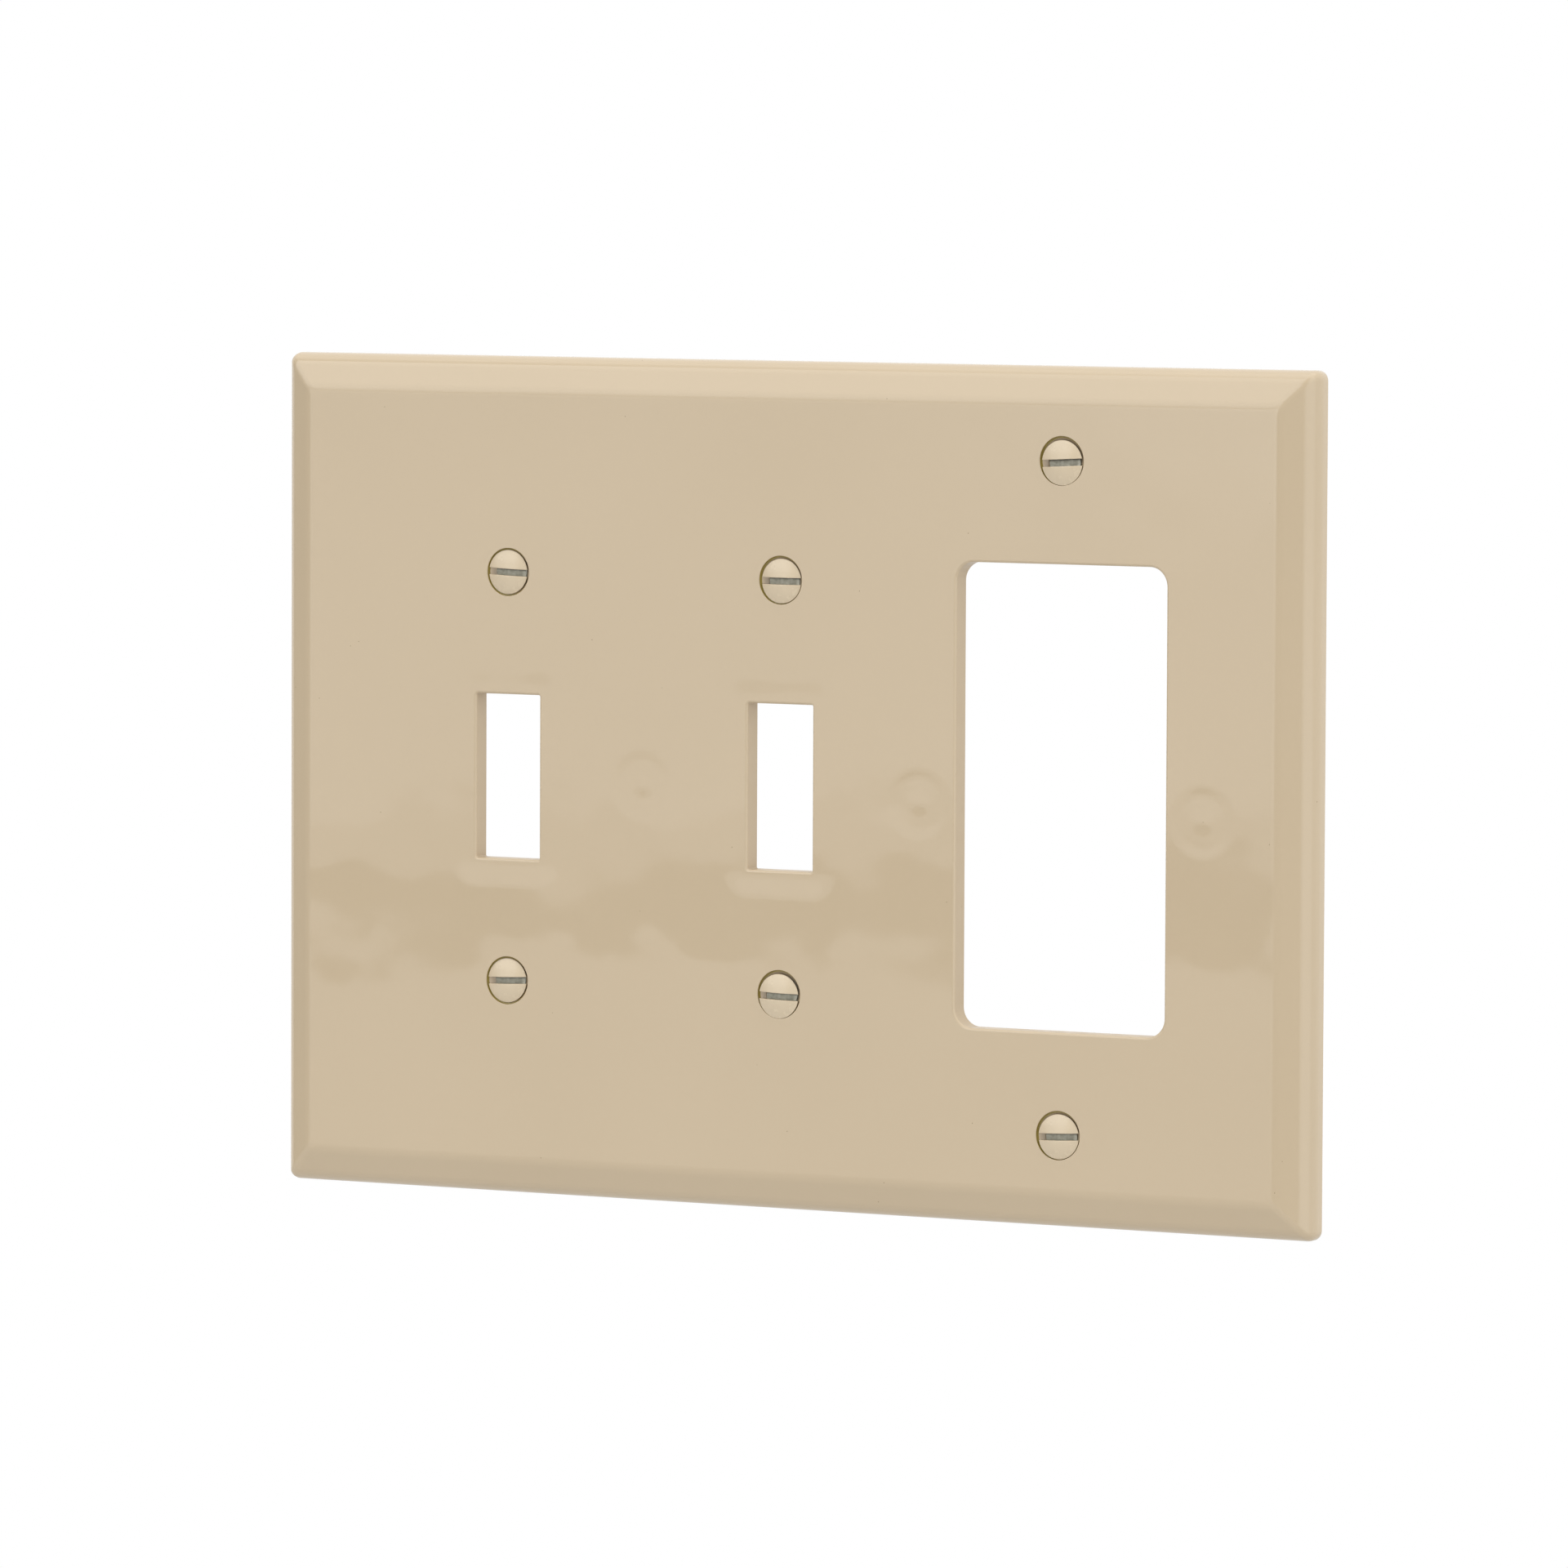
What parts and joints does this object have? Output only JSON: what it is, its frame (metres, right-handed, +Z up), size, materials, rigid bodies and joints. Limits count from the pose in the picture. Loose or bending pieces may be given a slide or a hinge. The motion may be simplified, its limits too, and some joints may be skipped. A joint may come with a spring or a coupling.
{
  "type": "combination wall plate",
  "caption": "Bevelled ivory wall plate with toggle openings beside a decorator opening, held by slotted oval-head machine screws that back out of countersunk holes.",
  "frame": {"origin": "centre of the plate's outline, on the wall plane that the skirt stands on", "axes": "+X towards the decorator opening, +Y into the wall so that the front faces -Y, +Z up"},
  "size_m": [0.1714, 0.0137, 0.1238],
  "materials": {
    "plate_plastic": "glossy moulded ivory thermoset",
    "painted_screw": "ivory enamel on the head of a zinc-plated steel screw",
    "screw_zinc": "dull zinc plating in the slot and on the thread"
  },
  "bodies": {
    "plate": {"wall_plate": "plate_plastic"},
    "left_toggle_screw_top": {"left_toggle_screw_top": "painted_screw"},
    "left_toggle_screw_bottom": {"left_toggle_screw_bottom": "painted_screw"},
    "middle_toggle_screw_top": {"middle_toggle_screw_top": "painted_screw"},
    "middle_toggle_screw_bottom": {"middle_toggle_screw_bottom": "painted_screw"},
    "decorator_screw_top": {"decorator_screw_top": "painted_screw"},
    "decorator_screw_bottom": {"decorator_screw_bottom": "painted_screw"}
  },
  "joints": [
    {"name": "left_toggle_screw_top_backs_out", "type": "slide", "parent": "plate", "child": "left_toggle_screw_top", "axis": [0, -1, 0], "range_m": [0, 0.0095]},
    {"name": "left_toggle_screw_bottom_backs_out", "type": "slide", "parent": "plate", "child": "left_toggle_screw_bottom", "axis": [0, -1, 0], "range_m": [0, 0.0095]},
    {"name": "middle_toggle_screw_top_backs_out", "type": "slide", "parent": "plate", "child": "middle_toggle_screw_top", "axis": [0, -1, 0], "range_m": [0, 0.0095]},
    {"name": "middle_toggle_screw_bottom_backs_out", "type": "slide", "parent": "plate", "child": "middle_toggle_screw_bottom", "axis": [0, -1, 0], "range_m": [0, 0.0095]},
    {"name": "decorator_screw_top_backs_out", "type": "slide", "parent": "plate", "child": "decorator_screw_top", "axis": [0, -1, 0], "range_m": [0, 0.0095]},
    {"name": "decorator_screw_bottom_backs_out", "type": "slide", "parent": "plate", "child": "decorator_screw_bottom", "axis": [0, -1, 0], "range_m": [0, 0.0095]}
  ]
}
